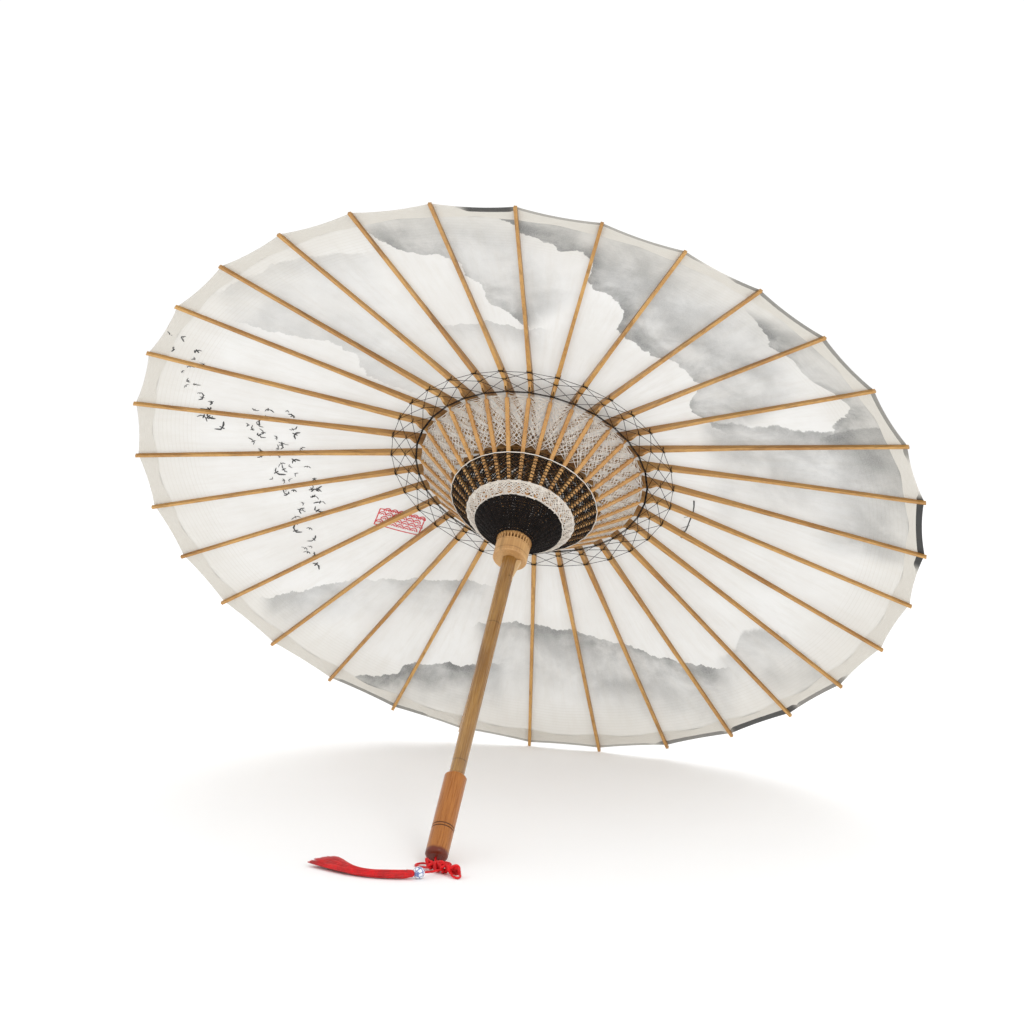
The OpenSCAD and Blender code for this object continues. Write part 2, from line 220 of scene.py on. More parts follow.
# ---------------------------------------------------------------- materials
class Nodes:
    """One material's node tree, with a short call for each kind of node."""

    def __init__(self, name):
        self.material = bpy.data.materials.new(name)
        self.material.use_nodes = True
        self.tree = self.material.node_tree
        self.tree.nodes.clear()
        self.output = self.tree.nodes.new("ShaderNodeOutputMaterial")

    def put(self, socket, value):
        if isinstance(value, bpy.types.NodeSocket):
            self.tree.links.new(value, socket)
        elif value is not None:
            if isinstance(value, (tuple, list)) and len(value) == 3 and len(socket.default_value) == 4:
                value = (*value, 1)
            socket.default_value = value

    def node(self, kind, **settings):
        made = self.tree.nodes.new("ShaderNode" + kind)
        for key, value in settings.items():
            setattr(made, key, value)
        return made

    def math(self, operation, a, b=None, c=None, clamp=False):
        made = self.node("Math", operation=operation, use_clamp=clamp)
        for socket, value in zip(made.inputs, (a, b, c)):
            self.put(socket, value)
        return made.outputs[0]

    def times(self, a, b, clamp=False):
        return self.math("MULTIPLY", a, b, clamp=clamp)

    def plus(self, a, b):
        return self.math("ADD", a, b)

    def minus(self, a, b, clamp=False):
        return self.math("SUBTRACT", a, b, clamp=clamp)

    def vector(self, operation, a, b):
        made = self.node("VectorMath", operation=operation)
        self.put(made.inputs[0], a)
        self.put(made.inputs[1], b)
        return made.outputs["Value" if operation == "DOT_PRODUCT" else "Vector"]

    def join(self, x, y, z):
        made = self.node("CombineXYZ")
        for socket, value in zip(made.inputs, (x, y, z)):
            self.put(socket, value)
        return made.outputs[0]

    def noise(self, place, scale, detail=3.0, roughness=0.55, distortion=0.0):
        made = self.node("TexNoise")
        self.put(made.inputs["Vector"], place)
        for key, value in (("Scale", scale), ("Detail", detail), ("Roughness", roughness),
                           ("Distortion", distortion)):
            made.inputs[key].default_value = value
        return made.outputs["Fac"]

    def span(self, value, low, high, out_low=0.0, out_high=1.0, smooth=True):
        """Maps a value between two limits, smoothly and clamped."""
        made = self.node("MapRange", interpolation_type="SMOOTHSTEP" if smooth else "LINEAR")
        for socket, x in zip(made.inputs, (value, low, high, out_low, out_high)):
            self.put(socket, x)
        return made.outputs[0]

    def mix(self, share, a, b):
        made = self.node("Mix", data_type="RGBA")
        self.put(made.inputs[0], share)
        self.put(made.inputs[6], a)
        self.put(made.inputs[7], b)
        return made.outputs[2]

    def tone(self, fine, broad, share, low):
        """Tone from a fine and a broad noise, spread over 0 to 1."""
        return self.span(self.plus(self.times(fine, share), self.times(broad, 1 - share)), low, 1 - low)

    def bump(self, height, depth, strength):
        made = self.node("Bump")
        self.put(made.inputs["Strength"], strength)
        self.put(made.inputs["Distance"], depth)
        self.put(made.inputs["Height"], height)
        return made.outputs[0]

    def shade(self, colour, roughness, normal=None, **constants):
        """Principled shader; the constants are set on its own sockets."""
        made = self.node("BsdfPrincipled")
        self.put(made.inputs["Base Color"], colour)
        self.put(made.inputs["Roughness"], roughness)
        self.put(made.inputs["Normal"], normal)
        for key, value in constants.items():
            self.put(made.inputs[key.replace("_", " ")], value)
        return made

    def end(self, shader):
        self.tree.links.new(shader.outputs[0], self.output.inputs[0])
        return self.material

    def row_place(self):
        """Place of the surface in the row frame, in metres."""
        return self.node("TexCoord").outputs["Object"]

    def paper_place(self):
        """Paper position of the surface, whole and as its two parts."""
        place = self.node("UVMap", uv_map="place").outputs[0]
        parts = self.node("SeparateXYZ")
        self.put(parts.inputs[0], place)
        return place, parts.outputs[0], parts.outputs[1]

    def umbrella_place(self):
        """X, Y and Z of the surface in the umbrella's frame, in metres."""
        from_centre = self.vector("SUBTRACT", self.row_place(), tuple(CENTRE))
        return [self.vector("DOT_PRODUCT", from_centre, tuple(v)) for v in (ACROSS, DOWN, UP)]

    def rib_place(self):
        """Along, across and height in the plane of the nearest rib, and that rib's number."""
        x, y, z = self.umbrella_place()
        radius = self.math("SQRT", self.plus(self.times(x, x), self.times(y, y)))
        angle = self.minus(self.math("ARCTAN2", y, x), azimuth(1))
        number = self.math("ROUND", self.math("DIVIDE", angle, PITCH))
        off = self.minus(angle, self.times(number, PITCH))
        return (self.times(radius, self.math("COSINE", off)),
                self.times(radius, self.math("SINE", off)), z, number)


def darker(colour, share):
    return tuple(c * share for c in colour)


def bamboo(name, pale, deep, ribs=False, roughness=0.42, coat=0.0, fibre=900.0, rings=(), painted_side_shade=0.5):
    """Split or turned bamboo: fibres along the length, slow tone changes, streaks and growth rings.

    rings holds each growth ring's height and width in millimetres; the last argument sets how dark a rib's
    sides are painted as shade.
    """
    n = Nodes(name)
    if ribs:
        along, side, height, number = n.rib_place()
        shift = n.times(number, 0.37)
    else:
        side, height, along = n.umbrella_place()
        shift = 0.0

    def drawn_out(squeeze):
        return n.vector("ADD", n.join(side, height, n.times(along, squeeze)), n.join(shift, shift, shift))

    place = drawn_out(0.035)
    fibres = n.noise(place, fibre, 4.0, 0.65)
    broad = n.noise(drawn_out(0.3), 38.0, 3.0, 0.6)
    streak = n.noise(place, fibre * 0.28, 2.0, 0.5)
    colour = n.mix(n.tone(fibres, broad, 0.45, 0.34), deep, pale)
    colour = n.mix(n.span(streak, 0.56, 0.72, 0.0, 0.45), colour, darker(deep, 0.42))
    # Painted shade: a rib's side faces, whose normals lie across the umbrella's axis, are painted darker, as
    # if in shadow.
    if ribs:
        facing = n.vector("DOT_PRODUCT", n.node("TexCoord").outputs["Normal"], tuple(UP))
        edge = n.span(n.math("ABSOLUTE", facing), 0.35, 0.8, painted_side_shade, 0.0)
        colour = n.mix(edge, colour, darker(deep, 0.34))
    height_map = n.plus(n.times(fibres, 0.7), n.times(streak, 0.6))
    for ring_at, width in rings:
        near = n.math("ABSOLUTE", n.minus(along, ring_at * MM))
        mark = n.span(near, 0.0, width * MM, 1.0, 0.0)
        colour = n.mix(n.times(mark, 0.55), colour, darker(deep, 0.3))
        height_map = n.minus(height_map, n.times(mark, 0.8))
    rough = n.span(n.noise(place, fibre * 0.5, 2.0), 0.3, 0.7, roughness - 0.08, roughness + 0.1)
    normal = n.bump(height_map, 0.00012, 0.5)
    return n.end(n.shade(colour, rough, normal, Coat_Weight=coat, Coat_Roughness=0.18))


# Heights on the grip, in millimetres: its two grooves, and the stretch in which the painted shade on its end
# begins
GROOVES_Z, PAINTED_SHADE_END_Z = (-417.0, -414.0), (-441.5, -437.5)


def grip_wood():
    """Lacquered turned wood with painted shade darkening its end, and dark lines in its two grooves."""
    n = Nodes("grip_wood")
    x, y, z = n.umbrella_place()
    place = n.join(x, y, n.times(z, 0.06))
    wavy = n.noise(n.join(x, y, n.times(z, 0.25)), 60.0, 2.0, 0.5)
    waved = n.vector("ADD", place, n.join(n.times(wavy, 0.004), 0.0, 0.0))
    grain = n.noise(waved, 700.0, 4.0, 0.6)
    pores = n.noise(n.join(x, y, n.times(z, 0.12)), 2600.0, 2.0, 0.5)
    colour = n.mix(n.span(grain, 0.3, 0.7), (0.3, 0.1, 0.017), (0.41, 0.152, 0.028))
    colour = n.mix(n.span(pores, 0.62, 0.76, 0.0, 0.3), colour, (0.14, 0.045, 0.013))
    for line_at in GROOVES_Z:
        near = n.math("ABSOLUTE", n.minus(z, line_at * MM))
        colour = n.mix(n.span(near, 0.0003, 0.0009, 0.9, 0.0), colour, (0.055, 0.02, 0.01))
    # Painted shade: the grip's end is painted dark red-brown below a wavy height.
    end = n.plus(z, n.times(n.noise(n.join(x, y, 0.0), 90.0, 2.0), 0.004))
    dark = n.span(end, PAINTED_SHADE_END_Z[0] * MM, PAINTED_SHADE_END_Z[1] * MM, 0.92, 0.0)
    colour = n.mix(dark, colour, (0.115, 0.012, 0.006))
    rough = n.span(grain, 0.3, 0.7, 0.26, 0.34)
    normal = n.bump(n.plus(grain, n.times(pores, 0.5)), 0.00005, 0.25)
    return n.end(n.shade(colour, rough, normal, Coat_Weight=0.12, Coat_Roughness=0.2,
                         Specular_IOR_Level=0.3))


def thread(name, pale, deep, roughness=0.75, twist=2600.0, sheen=0.2, gloss=0.3):
    """Cotton or silk thread, with the unevenness of its twist."""
    n = Nodes(name)
    place = n.row_place()
    fine = n.noise(place, twist, 2.0, 0.6)
    broad = n.noise(place, 160.0, 2.0, 0.5)
    colour = n.mix(n.tone(fine, broad, 0.6, 0.36), deep, pale)
    rough = n.span(fine, 0.3, 0.7, roughness - 0.1, roughness + 0.1)
    return n.end(n.shade(colour, rough, n.bump(fine, 0.0001, 0.6), Sheen_Weight=sheen,
                         Sheen_Roughness=0.4, Specular_IOR_Level=gloss))


def silk(name, pale, deep, ahead):
    """Silk floss with long soft strands in one direction."""
    n = Nodes(name)
    place = n.row_place()
    length = n.vector("DOT_PRODUCT", place, tuple(ahead))
    taken = n.vector("MULTIPLY", n.join(length, length, length), tuple(0.93 * c for c in ahead))
    strand = n.noise(n.vector("SUBTRACT", place, taken), 2200.0, 3.0, 0.6)
    broad = n.noise(place, 120.0, 2.0, 0.5)
    colour = n.mix(n.tone(strand, broad, 0.65, 0.34), deep, pale)
    rough = n.span(strand, 0.3, 0.7, 0.34, 0.52)
    return n.end(n.shade(colour, rough, n.bump(strand, 0.0002, 0.7), Sheen_Weight=0.08,
                         Sheen_Roughness=0.35))


def porcelain():
    """White glaze with plain blue brushwork in cells."""
    n = Nodes("porcelain")
    place = n.row_place()
    cells = n.node("TexVoronoi", feature="DISTANCE_TO_EDGE")
    n.put(cells.inputs["Vector"], place)
    cells.inputs["Scale"].default_value = 260.0
    brush = n.noise(place, 420.0, 3.0, 0.6, 1.2)
    wash = n.span(n.plus(cells.outputs[0], n.times(brush, 0.35)), 0.24, 0.32, 1.0, 0.0)
    deep = n.span(brush, 0.5, 0.6)
    blue = n.mix(deep, (0.07, 0.13, 0.4), (0.01, 0.02, 0.14))
    colour = n.mix(n.times(wash, 0.9), (0.8, 0.84, 0.88), blue)
    return n.end(n.shade(colour, n.span(brush, 0.3, 0.7, 0.1, 0.18), n.bump(brush, 0.00005, 0.3),
                         Coat_Weight=0.8, Coat_Roughness=0.05))


# Ink washes on the paper. Each has the way its edge faces, in degrees from +X towards the floor, that
# edge's points in the canopy's plane, how far it fades behind the edge, how dark it is, and how soft
# the edge is. Lengths are in millimetres.
WASHES = (
    (-90, [(-96, 250), (-60, 239), (0, 243), (50, 250), (100, 262), (150, 272), (205, 268)],
     130, 0.44, 1.3),
    (-90, [(20, 300), (60, 296), (85, 300), (115, 312)], 70, 0.34, 22),
    (-90, [(-290, 326), (-235, 320), (-192, 318), (-172, 303), (-140, 301), (-100, 302), (-55, 296)],
     85, 0.5, 1.3),
    (-90, [(-170, 312), (-130, 308), (-80, 314)], 40, 0.3, 14),
    (-90, [(-335, 196), (-280, 187), (-240, 177), (-190, 173), (-150, 177), (-100, 180), (-55, 198)],
     72, 0.27, 1.6),
    (-90, [(-290, -275), (-235, -312), (-180, -334), (-100, -340)], 120, 0.13, 4),
    (135, [(-280, -240), (-210, -206), (-170, -186), (-160, -152), (-150, -132), (-90, -108)],
     130, 0.17, 1.6),
    (135, [(-112, -395), (-100, -356), (-62, -337), (-36, -330), (-24, -302), (-12, -284), (-8, -262),
           (10, -240), (22, -205)], 130, 0.4, 1.3),
    (180, [(-85, -400), (-80, -350)], 85, 0.2, 10),
    (-90, [(-74, -208), (-45, -224), (-10, -227), (18, -220), (50, -222)], 60, 0.2, 1.6),
    (135, [(-10, -425), (45, -376), (70, -356), (95, -350), (99, -320), (96, -302), (115, -285), (122, -250),
           (116, -230), (130, -214), (142, -196), (165, -190), (185, -165), (181, -130), (184, -106),
           (245, -100)], 200, 0.45, 1.3),
    (135, [(95, -330), (118, -300), (150, -262), (182, -214), (225, -190), (250, -150)], 100, 0.24, 26),
    (200, [(242, -300), (262, -262), (270, -236), (290, -222), (306, -198), (330, -178), (344, -158),
           (331, -140), (322, -118), (300, -96)], 140, 0.46, 1.3),
    (-90, [(180, -96), (240, -109), (290, -116), (322, -121), (360, -140), (450, -160)], 200, 0.38, 3),
    (180, [(290, 75), (300, 20), (310, -30), (305, -110)], 220, 0.42, 60),
    (-90, [(178, 262), (205, 236), (216, 210), (246, 198), (275, 216), (320, 262)], 130, 0.26, 9),
    (-90, [(222, 262), (245, 250), (275, 262)], 60, 0.24, 24),
    (-90, [(-200, 392), (-60, 400), (0, 402), (60, 398), (200, 380)], 30, 0.2, 14),
)
# How far a wash's edge is torn, the darker rim behind it, and the fade at its two ends
TORN, DARK_RIM, END_FADE = 24.0, 32.0, 26


def wash(n, x, y, facing, edge, fade, strength, soft, seed):
    """Ink density of one wash: darkest along its edge, then fading, with cloudy granulation."""
    f = math.radians(facing)
    into = (-math.cos(f), -math.sin(f))
    along = (-into[1], into[0])
    flat = sorted((px * along[0] + py * along[1], px * into[0] + py * into[1]) for px, py in edge)
    u0, u1 = flat[0][0], flat[-1][0]
    h0, h1 = min(h for _, h in flat) - 1, max(h for _, h in flat) + 1
    u = n.math("MULTIPLY_ADD", x, along[0], n.times(y, along[1]))
    h = n.math("MULTIPLY_ADD", x, into[0], n.times(y, into[1]))
    curve = n.node("FloatCurve")
    points = curve.mapping.curves[0].points
    spots = [((a - u0) / (u1 - u0), (b - h0) / (h1 - h0)) for a, b in flat]
    points[0].location, points[1].location = spots[0], spots[-1]
    for spot in spots[1:-1]:
        points.new(*spot)
    curve.mapping.update()
    n.put(curve.inputs["Value"], n.span(u, u0, u1, smooth=False))
    edge_h = n.span(curve.outputs[0], 0.0, 1.0, h0, h1, smooth=False)
    torn = n.noise(n.join(n.times(u, MM), seed, n.times(h, 0.4 * MM)), 62.0, 6.0, 0.62)
    depth = n.plus(n.minus(h, edge_h), n.times(n.minus(torn, 0.5), TORN))
    crisp = n.span(depth, 0.0, soft)
    rim = n.span(depth, 0.0, DARK_RIM, 1.45, 0.95)
    tail = n.span(depth, fade * 0.12, fade, 1.0, 0.0)
    ends = n.times(n.span(u, u0, u0 + END_FADE), n.span(u, u1 - END_FADE, u1, 1.0, 0.0))
    cloud = n.noise(n.join(n.times(x, MM), n.times(y, MM), seed), 17.0, 5.0, 0.62, 0.3)
    cloudy = n.span(cloud, 0.32, 0.66, 0.45, 1.3)
    shape = n.times(n.times(crisp, tail), n.times(ends, cloudy))
    return n.times(n.times(shape, rim), strength)


def oiled_paper():
    """Oiled mulberry paper: fibres, faint radial creases, rim threads under it, and ink washes."""
    n = Nodes("oiled_paper")
    place, *parts = n.paper_place()
    x, y = (n.times(part, 1000.0) for part in parts)
    radius = n.math("SQRT", n.math("MULTIPLY_ADD", x, x, n.times(y, y)))
    angle = n.math("ARCTAN2", y, x)
    density = None
    for number, settings in enumerate(WASHES):
        one = wash(n, x, y, *settings, seed=number * 0.71 + 0.3)
        if density is None:
            density = one
        else:
            density = n.plus(density, n.times(one, n.minus(1.0, density, clamp=True)))
    grain = n.noise(place, 900.0, 3.0, 0.7)
    density = n.times(density, n.span(grain, 0.3, 0.7, 0.86, 1.14), clamp=True)
    mottle = n.noise(place, 9.0, 4.0, 0.6)
    fibre = n.noise(n.join(n.times(angle, 0.9), n.times(radius, 0.0004), 0.0), 42.0, 4.0, 0.7)
    creases = n.noise(n.join(n.times(angle, 1.0), n.times(radius, 0.00012), 3.1), 30.0, 2.0, 0.5)
    base = n.mix(n.span(mottle, 0.3, 0.7), (0.765, 0.756, 0.733), (0.84, 0.842, 0.832))
    base = n.mix(n.span(fibre, 0.42, 0.7, 0.0, 0.35), base, (0.7, 0.675, 0.63))
    rings = n.math("PINGPONG", n.plus(radius, n.times(mottle, 3.0)), 2.1)
    in_rim = n.times(n.span(radius, 345.0, 365.0), n.span(radius, 398.0, 404.0, 1.0, 0.0))
    line = n.times(n.span(rings, 0.0, 0.55, 1.0, 0.0), in_rim)
    base = n.mix(n.times(line, 0.38), base, (0.6, 0.565, 0.5))
    base = n.mix(n.span(radius, 330.0, 405.0, 0.0, 0.62), base, (0.68, 0.655, 0.6))
    colour = n.mix(density, base, (0.1, 0.108, 0.112))
    bumps = n.plus(n.times(creases, 1.6), n.times(grain, 0.12))
    bumps = n.plus(bumps, n.times(line, 0.22))
    normal = n.bump(bumps, 0.0009, 0.35)
    rough = n.span(grain, 0.3, 0.7, 0.5, 0.66)
    front = n.shade(colour, rough, normal, Coat_Weight=0.08, Coat_Roughness=0.35)
    through = n.node("BsdfTranslucent")
    n.put(through.inputs["Color"], n.mix(0.25, colour, (0.82, 0.77, 0.68)))
    n.put(through.inputs["Normal"], normal)
    both = n.node("MixShader")
    both.inputs[0].default_value = 0.3
    n.tree.links.new(front.outputs[0], both.inputs[1])
    n.tree.links.new(through.outputs[0], both.inputs[2])
    return n.end(both)


# Stretches of the hem that are inked, in degrees from +X towards the floor, and how dark they are;
# the degrees over which the ink sets in and fades out
INKED = ((-8, 10, 1.0), (36, 50, 0.65), (47, 63, 0.95), (61, 76, 0.7), (74, 116, 0.4), (111, 130, 0.62),
         (267, 277, 0.95), (274, 302, 0.45), (304, 347, 0.62))
INK_FADE = 2.5


def hem_paper():
    """Cream binding strip along the paper's edge, with its folded outer side inked in places."""
    n = Nodes("hem_paper")
    _, around, over = n.paper_place()
    turn = n.times(around, 360.0)
    fibre = n.noise(n.join(n.times(around, 3.0), over, 0.0), 80.0, 4.0, 0.65)
    colour = n.mix(n.span(fibre, 0.3, 0.7), (0.63, 0.6, 0.535), (0.74, 0.715, 0.66))
    dark = None
    for low, high, strength in INKED:
        for wrap in (0, 360) if low < 0 else (0,):
            begin, finish = low + wrap, high + wrap
            rise = n.span(turn, begin, begin + INK_FADE)
            fall = n.span(turn, finish - INK_FADE, finish, 1.0, 0.0)
            part = n.times(n.times(rise, fall), strength)
            dark = part if dark is None else n.math("MAXIMUM", dark, part)
    torn = n.noise(n.join(n.times(around, 12.0), 0.0, 0.0), 30.0, 4.0, 0.7)
    inked_from = n.span(n.plus(dark, n.times(torn, 0.16)), 0.3, 1.1, 0.86, 0.6)
    edge = n.math("GREATER_THAN", over, inked_from)
    colour = n.mix(n.times(n.times(dark, edge), 0.97), colour, (0.018, 0.02, 0.021))
    normal = n.bump(fibre, 0.0003, 0.4)
    return n.end(n.shade(colour, n.span(fibre, 0.3, 0.7, 0.5, 0.7), normal, Coat_Weight=0.05))


def dry_ink(name, grain, low, full, thin):
    """Ink or paste that covers unevenly, full in most places and thin in some."""
    n = Nodes(name)
    dry = n.noise(n.row_place(), grain, 3.0, 0.7)
    colour = n.mix(n.span(dry, low, 0.75), full, thin)
    return n.end(n.shade(colour, n.span(dry, 0.3, 0.7, 0.55, 0.7), n.bump(dry, 0.0001, 0.3)))


BAMBOO_RIB = bamboo("bamboo_rib", (0.66, 0.375, 0.115), (0.4, 0.185, 0.045), ribs=True,
                    roughness=0.38, painted_side_shade=0.4)
BAMBOO_BAR = bamboo("bamboo_stretcher", (0.64, 0.355, 0.115), (0.4, 0.185, 0.05), ribs=True,
                    roughness=0.45, painted_side_shade=0.0)
BAMBOO_POLE = bamboo("bamboo_pole", (0.4, 0.212, 0.05), (0.2, 0.09, 0.018), roughness=0.26, coat=0.35,
                     fibre=620.0, rings=((-163, 1.1), (-336, 1.1), (12, 1.1)))
TURNED = bamboo("turned_wood", (0.64, 0.385, 0.16), (0.45, 0.235, 0.085), roughness=0.44, fibre=520.0,
                rings=((-71, 0.6),))
SLIVER = bamboo("bamboo_sliver", (0.72, 0.52, 0.28), (0.56, 0.36, 0.17), roughness=0.45)
CAP_WOOD = bamboo("cap_wood", (0.075, 0.032, 0.016), (0.028, 0.012, 0.007), roughness=0.26,
                  coat=0.6)
GRIP = grip_wood()
BLACK = thread("black_thread", (0.018, 0.013, 0.011), (0.004, 0.0035, 0.0035), roughness=0.55,
               sheen=0.0, gloss=0.12)
CREAM = thread("white_thread", (0.9, 0.85, 0.78), (0.7, 0.62, 0.53))
PAPER = oiled_paper()
HEM = hem_paper()
INK = dry_ink("bird_ink", 700.0, 0.4, (0.022, 0.024, 0.025), (0.13, 0.13, 0.13))
STAMP = dry_ink("stamp_ink", 520.0, 0.45, (0.66, 0.035, 0.05), (0.8, 0.36, 0.34))
PORCELAIN = porcelain()

for node, material in (("pole", BAMBOO_POLE), ("grip", GRIP), ("crown", TURNED), ("crown_thread", BLACK),
                       ("cap", CAP_WOOD), ("runner", TURNED), ("runner_thread", BLACK), ("catch", SLIVER),
                       ("catch_pin", BAMBOO_POLE), *((name, BAMBOO_RIB) for name in RIB_NAMES)):
    mesh = frame["nodes"][node].data
    mesh.materials.clear()
    mesh.materials.append(material)


# ---------------------------------------------------------------- tassel, in the row frame's millimetres
CORD_ROUTE = ((0, -295, 15), (0, -300, 10.4), (0, -304, 6.8), (0.5, -307, 4.2), (2, -311, 2.6),
              (6, -318, 2.2), (12, -327, 3.4), (15, -335, 4.8), (15, -343, 5.4), (12, -352, 6),
              (7, -359, 6), (-1, -364, 6), (-9, -369, 6))
CORD_CORE = ((-16, -371.4, 5.2), (-28, -373.6, 4.5), (-44, -374.4, 4.4), (-58, -371.4, 4.4))
CORD_R = 1.0
KNOT_LOW, KNOT_HIGH = Vector((2, -329, 6)), Vector((28, -343, 6))
BEAD_AT, BEAD_R = Vector((-1, -364, 6)), 5.75
BEAD_AXIS = Vector((-8, -5, 0)).normalized()
SKIRT_ROUTE = ((-5, -366.5, 5.6), (-13, -370, 4.8), (-28, -374, 4.4), (-48, -375, 4.2), (-68, -367, 4.4),
               (-96, -345, 4.6))
SKIRT_WIDTHS = (2.2, 4.2, 4.6, 5.2, 9.0, 17.5)
SKIRT_HEIGHTS = (2.2, 3.7, 3.6, 3.4, 3.4, 3.2)
# The skirt's solid core ends some steps before its strands do; neck turns bind it behind the bead
CORE_SHORT, STRANDS, NECK_TURNS = 4, 230, 6
RED = silk("red_silk", (0.82, 0.003, 0.006), (0.4, 0.001, 0.002), BEAD_AXIS)
RED_CORD = thread("red_cord", (0.82, 0.005, 0.009), (0.42, 0.002, 0.003), roughness=0.5, twist=1800.0,
                  sheen=0.05)

route = smooth_line(CORD_ROUTE + CORD_CORE, 2)
shape = Shape()
shape.tube(route, CORD_R, 8)
cord = shape.piece("tassel_cord_line", [RED_CORD], FROM_ROW)

shape = Shape()
dice = random.Random(4)
axis = (KNOT_HIGH - KNOT_LOW).normalized()
side = axis.cross(VERTICAL).normalized()
# Loops of the knot: place along it, half length, half width and turn in degrees, before they are slackened
LOOPS = ((0.02, 5.2, 2.6, 20), (0.2, 4.6, 3.0, -25), (0.38, 5.4, 3.0, 35), (0.55, 4.8, 2.8, -30),
         (0.72, 4.6, 2.8, 25), (0.9, 4.2, 2.4, -15), (1.08, 3.4, 2.0, 10), (0.3, 4.4, 2.2, 80),
         (0.62, 4.2, 2.2, -75), (-0.1, 4.6, 3.2, 60), (0.1, 5.6, 2.0, -70), (0.46, 5.2, 3.4, 5),
         (0.8, 5.0, 2.6, 62), (0.98, 3.8, 3.0, -40))
LOOP_LONG, LOOP_WIDE = 1.15, 1.2
for share, long_r, short_r, turn in LOOPS:
    middle = KNOT_LOW.lerp(KNOT_HIGH, share) + Vector((0, 0, dice.uniform(-0.6, 1.0)))
    t = math.radians(turn)
    u = axis * math.cos(t) + side * math.sin(t)
    v = (side * math.cos(t) - axis * math.sin(t)) * 0.6 + Vector((0, 0, dice.uniform(0.9, 1.25)))
    loop = []
    for a in turns(20):
        p = middle + u * long_r * LOOP_LONG * math.cos(a) + v * short_r * LOOP_WIDE * math.sin(a)
        loop.append(above(p + Vector((0, 0, 0.9 * math.sin(2 * a))), 1.5))
    shape.tube(loop, 1.5, 7, closed=True)
shape.tube(smooth_line(((8, -326, 3), (1, -320, 3.4), (-9, -313, 2.6), (-15, -314, 1.6), (-15, -320, 1.4),
                        (-7, -327, 2.2), (3, -334, 4.2)), 4), 1.1, 7)
shape.tube(smooth_line(((26, -342, 6), (32, -346, 4.6), (35, -350, 2.4), (33, -353, 1.4), (28, -351, 2.2),
                        (25, -347, 4.4)), 4), 1.1, 7)
knot = shape.piece("tassel_knot_loops", [RED_CORD], FROM_ROW)

shape = Shape()
rings = []
across_bead = BEAD_AXIS.cross(VERTICAL)
# Radius and place along the axis, round the outside of the bead and back through its bore
BEAD_PROFILE = ((1.35, -4.9), (1.9, -5.35), (3.1, -4.95), (4.6, -3.6), (5.5, -1.9), (BEAD_R, 0),
                (5.5, 1.9), (4.6, 3.6), (3.1, 4.95), (1.9, 5.35), (1.35, 4.9), (1.2, 0), (1.35, -4.9))
for radius, ahead in BEAD_PROFILE:
    rings.append([BEAD_AT + BEAD_AXIS * ahead + radius * (math.cos(a) * across_bead + math.sin(a) * VERTICAL)
                  for a in turns(28)])
shape.loft(rings, caps=False)
bead = shape.piece("tassel_bead_glazed", [PORCELAIN], FROM_ROW)
rounding = bead.modifiers.new("round", "SUBSURF")
rounding.levels = rounding.render_levels = 1

shape = Shape()
middle = smooth_line(SKIRT_ROUTE, 5)
sizes = smooth_line([(w, h, 0) for w, h in zip(SKIRT_WIDTHS, SKIRT_HEIGHTS)], 5)
across = []
for k in range(len(middle)):
    ahead = middle[min(k + 1, len(middle) - 1)] - middle[max(k - 1, 0)]
    across.append(ahead.cross(VERTICAL).normalized())
rings = []
for k in range(len(middle) - CORE_SHORT):
    ring = []
    for a in turns(30):
        ripple = 0.86 + 0.06 * math.sin(7 * a + k * 0.3) + 0.04 * math.sin(13 * a)
        p = middle[k] + across[k] * sizes[k].x * ripple * math.cos(a)
        ring.append(above(p + Vector((0, 0, sizes[k].y * ripple * math.sin(a))), 0.5))
    rings.append(ring)
shape.loft(rings)
dice = random.Random(11)
for strand in range(STRANDS):
    a, depth = dice.uniform(0, 2 * math.pi), math.sqrt(dice.uniform(0.45, 1.0))
    stop = len(middle) - 1 - dice.choice((0, 0, 0, 1, 1, 2)) * (1 if dice.random() < 0.5 else 0)
    wander, phase, reach = dice.uniform(0.1, 0.5), dice.uniform(0, 6.3), dice.uniform(-1.0, 4.0)
    line = []
    for k in range(stop + 1):
        s = sizes[k]
        sway = wander * math.sin(phase + k * 0.45)
        p = middle[k] + across[k] * (s.x * depth * math.cos(a) + sway)
        p = p + Vector((0, 0, s.y * depth * math.sin(a) + 0.3 * sway))
        if k == stop:
            p = p + (middle[k] - middle[k - 1]).normalized() * reach
        line.append(above(p, 0.45))
    shape.tube(line, [0.42 if k < stop - 2 else 0.3 for k in range(len(line))], 4)
for turn in range(NECK_TURNS):
    where, wide = BEAD_AT + BEAD_AXIS * (6.4 + turn * 0.95), 3.1 + 0.1 * turn
    ring = [where + wide * (math.cos(a) * across_bead + math.sin(a) * Vector((0, 0, 0.95)))
            + Vector((0, 0, -0.6)) for a in turns(18)]
    shape.tube(ring, 0.55, 6, closed=True)
skirt = shape.piece("tassel_skirt_strands", [RED], FROM_ROW)

for piece, node in ((cord, "tassel_cord"), (knot, "tassel_knot"), (skirt, "tassel_skirt")):
    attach(piece, "pole")
    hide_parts(node)
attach(bead, "pole")
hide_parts("tassel_bead")

# ---------------------------------------------------------------- stretchers
# Place along a stretcher from its foot, half width and half depth there, in millimetres
BAR_LENGTH = math.hypot(JOINT_R - FOOT_R, JOINT_Z - FOOT_Z)
BAR_SHAPE = ((-1.9, 0.95, 1.2), (0, 0.95, 1.9), (11, 0.95, 1.95), (40, 1.62, 2.15), (48, 1.85, 2.2),
             (96, 2.1, 2.2), (BAR_LENGTH - 9, 2.1, 2.2), (BAR_LENGTH - 7.6, 1.9, 2.1),
             (BAR_LENGTH - 7.4, 0.5, 2.1), (BAR_LENGTH, 0.5, 2.2), (BAR_LENGTH + 2.1, 0.5, 1.0))


